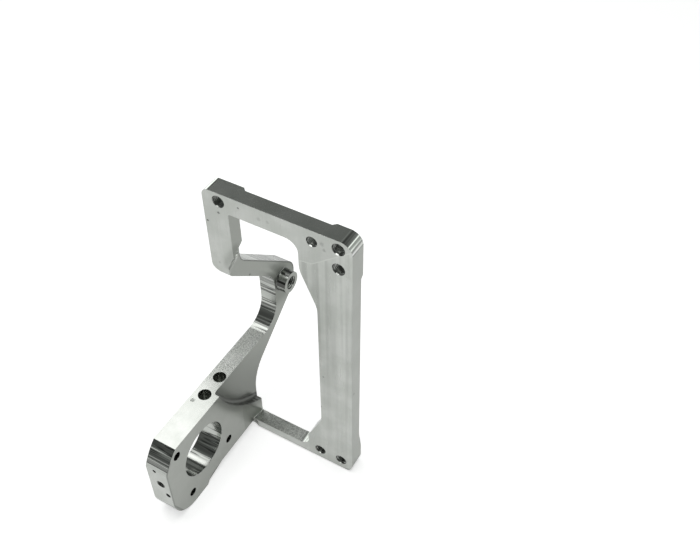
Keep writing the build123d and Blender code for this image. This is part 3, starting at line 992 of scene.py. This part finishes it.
def floor_material(stage):
    """A pale matt floor that looks white to the eye and in reflections, and keeps the shadow."""
    material, graph, shader = new_material("pale_floor")
    shader.inputs["Base Color"].default_value = (*stage.floor, 1.0)
    shader.inputs["Roughness"].default_value = FLOOR_ROUGHNESS
    shader.inputs["Specular IOR Level"].default_value = 0.0
    path = graph.add("ShaderNodeLightPath").outputs
    mirrored = graph.most(path["Is Glossy Ray"], path["Is Transmission Ray"])
    glow = graph.plus(graph.times(path["Is Camera Ray"], stage.floor_glow),
                      graph.times(mirrored, stage.floor_sheen))
    shader.inputs["Emission Color"].default_value = (1.0, 1.0, 1.0, 1.0)
    graph.give(glow, shader.inputs["Emission Strength"])
    return material


def rise(degrees):
    """How far up a direction points, from its angle above the horizon."""
    return math.sin(math.radians(degrees))


def surroundings(stage):
    """Pale walls at eye level, dimmer above them, and a soft ceiling. The eye sees white."""
    world = bpy.data.worlds.new("studio")
    bpy.context.scene.world = world
    world.use_nodes = True
    world.node_tree.nodes.clear()
    graph = Graph(world.node_tree)
    parts = graph.parts(graph.add("ShaderNodeTexCoord").outputs["Generated"])
    sideways = graph.math("ABSOLUTE", parts["X"])
    behind = graph.ramp(sideways, *SIDE_LEAN, stage.middle_wall, stage.back_wall)
    walls = graph.ramp(parts["Y"], *BACK_LEAN, stage.front_wall, behind)
    low = graph.ramp(parts["Z"], *map(rise, WALL_END), 1.0, 0.0)
    band = graph.times(graph.math("SUBTRACT", 1.0, low), stage.wall_top)
    high = graph.ramp(parts["Z"], *map(rise, CEILING_START), 0.0, stage.ceiling)
    light = graph.plus(graph.times(walls, low), band, high)
    eye = graph.add("ShaderNodeLightPath").outputs["Is Camera Ray"]
    strength = graph.add("ShaderNodeMix", eye, settings={"data_type": "FLOAT"})
    graph.give(light, strength.inputs[2])
    strength.inputs[3].default_value = 1.0
    tint = graph.mix(eye, stage.tint, (1.0, 1.0, 1.0))
    background = graph.add("ShaderNodeBackground", tint, strength.outputs[0])
    graph.add("ShaderNodeOutputWorld", background.outputs[0])


def soft_lamp(name, place, aim, size, power):
    """A square soft lamp that looks at a point."""
    lamp = bpy.data.lights.new(name, "AREA")
    lamp.shape = "SQUARE"
    lamp.size = size
    lamp.energy = power
    holder = bpy.data.objects.new(name, lamp)
    bpy.context.scene.collection.objects.link(holder)
    holder.location = place
    holder.rotation_euler = (Vector(aim) - Vector(place)).to_track_quat("-Z", "Y").to_euler()


class BRACKET_OT_set_stage(bpy.types.Operator):
    """Lay the pale floor and hang the soft lamps"""

    bl_idname = "bracket.set_stage"
    bl_label = "Set the stage"

    def execute(self, context):
        stage = context.scene.bracket_settings.stage
        corners = [(across * FLOOR_HALF, along * FLOOR_HALF, 0)
                   for across, along in ((-1, -1), (1, -1), (1, 1), (-1, 1))]
        mesh = bpy.data.meshes.new("floor")
        mesh.from_pydata(corners, [], [(0, 1, 2, 3)])
        floor = bpy.data.objects.new("floor", mesh)
        floor.data.materials.append(floor_material(stage))
        context.scene.collection.objects.link(floor)
        surroundings(stage)
        low, high = CAD_BOX
        middle = (low + high) / 2
        heading = Matrix.Rotation(stage.key_heading, 3, "Z")
        height = Matrix.Rotation(stage.key_height, 3, "X")
        key_place = middle + heading @ height @ Vector((0, stage.key_distance, 0))
        soft_lamp("key_lamp", key_place, middle, stage.key_size, stage.key_power)
        top_place = middle + Vector(stage.top_offset)
        soft_lamp("top_lamp", top_place, middle, stage.top_size, stage.top_power)
        return {"FINISHED"}


class BRACKET_OT_set_camera(bpy.types.Operator):
    """Stand the camera where the view is taken from"""

    bl_idname = "bracket.set_camera"
    bl_label = "Set the camera"

    def execute(self, context):
        view = context.scene.bracket_settings.camera
        data = bpy.data.cameras.new("camera")
        data.sensor_width = FILM_WIDTH
        data.lens = view.lens
        data.clip_start = NEAREST
        camera = bpy.data.objects.new("camera", data)
        context.scene.collection.objects.link(camera)
        turn = Matrix.Rotation(view.heading, 4, "Z")
        dip = Matrix.Rotation(math.radians(90) - view.dip, 4, "X")
        roll = Matrix.Rotation(view.roll, 4, "Z")
        camera.matrix_world = Matrix.Translation(view.place) @ turn @ dip @ roll
        context.scene.camera = camera
        return {"FINISHED"}


STEPS = (
    BRACKET_OT_finish_metal, BRACKET_OT_tap_holes, BRACKET_OT_set_stage, BRACKET_OT_set_camera,
)


class BRACKET_PT_panel(bpy.types.Panel):
    """Settings and steps of the bracket."""

    bl_label = "Milled corner bracket"
    bl_idname = "BRACKET_PT_panel"
    bl_space_type = "VIEW_3D"
    bl_region_type = "UI"
    bl_category = "Bracket"

    def draw(self, context):
        settings = context.scene.bracket_settings
        for group in (settings.finish, settings.stage, settings.camera):
            box = self.layout.box()
            for name in group.__annotations__:
                box.prop(group, name)
        for step in STEPS:
            self.layout.operator(step.bl_idname)


CLASSES = (
    FinishSettings, StageSettings, CameraSettings, BracketSettings, *STEPS, BRACKET_PT_panel,
)


def register():
    """Registers the classes and the settings."""
    for cls in CLASSES:
        bpy.utils.register_class(cls)
    bpy.types.Scene.bracket_settings = PointerProperty(type=BracketSettings)


def unregister():
    """Takes the classes and the settings away again."""
    del bpy.types.Scene.bracket_settings
    for cls in reversed(CLASSES):
        bpy.utils.unregister_class(cls)


def main():
    """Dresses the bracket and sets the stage."""
    register()
    bpy.context.scene.view_settings.view_transform = "Standard"
    bpy.ops.bracket.finish_metal()
    bpy.ops.bracket.tap_holes()
    bpy.ops.bracket.set_stage()
    bpy.ops.bracket.set_camera()


if __name__ == "__main__":
    main()
